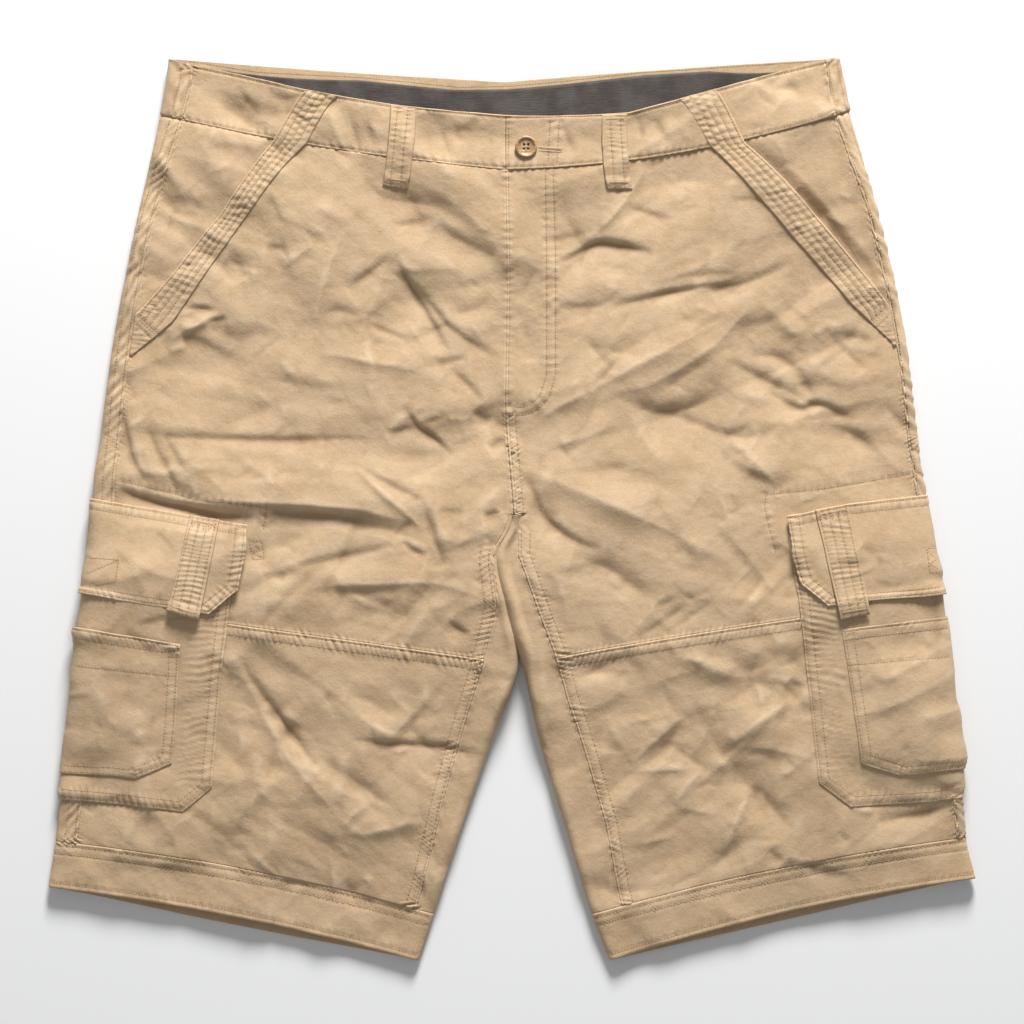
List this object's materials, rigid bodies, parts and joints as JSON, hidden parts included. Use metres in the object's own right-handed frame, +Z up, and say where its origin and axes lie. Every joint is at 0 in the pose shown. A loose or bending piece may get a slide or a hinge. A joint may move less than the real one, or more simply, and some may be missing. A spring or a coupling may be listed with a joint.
{
  "type": "cargo shorts",
  "caption": "Long cargo shorts in khaki twill laid flat, front up, with slash pockets, flapped cargo pockets, belt loops and a buttoned fly.",
  "frame": {"origin": "centre of the garment's outline in plan, on the surface that it lies on", "axes": "+Z up out of the surface, with the front of the shorts up; +Y towards the waist; +X towards the side where the button and buttonhole lie"},
  "size_m": [0.726, 0.706, 0.018],
  "materials": {
    "twill": "matte khaki cotton twill",
    "tape": "matte dark woven tape",
    "button": "satin resin"
  },
  "bodies": {
    "root": {"back_left": "twill", "back_right": "twill", "belt_loop_back_centre": "twill", "belt_loop_back_left": "twill", "belt_loop_back_right": "twill", "belt_loop_front_left": "twill", "belt_loop_front_right": "twill", "cargo_flap_left": "twill", "cargo_flap_right": "twill", "cargo_pocket_left": "twill", "cargo_pocket_right": "twill", "flap_tab_left": "twill", "flap_tab_right": "twill", "fly_underlap": "twill", "front_lower_left": "twill", "front_lower_right": "twill", "front_upper_left": "twill", "front_upper_right": "twill", "hem_left": "twill", "hem_right": "twill", "patch_pocket_left": "twill", "patch_pocket_right": "twill", "pocket_band_left": "twill", "pocket_band_right": "twill", "pocket_facing_left": "twill", "pocket_facing_right": "twill", "waistband_back": "twill", "waistband_front_left": "twill", "waistband_front_right": "twill", "inner_tape": "tape", "button": "button"}
  },
  "joints": []
}
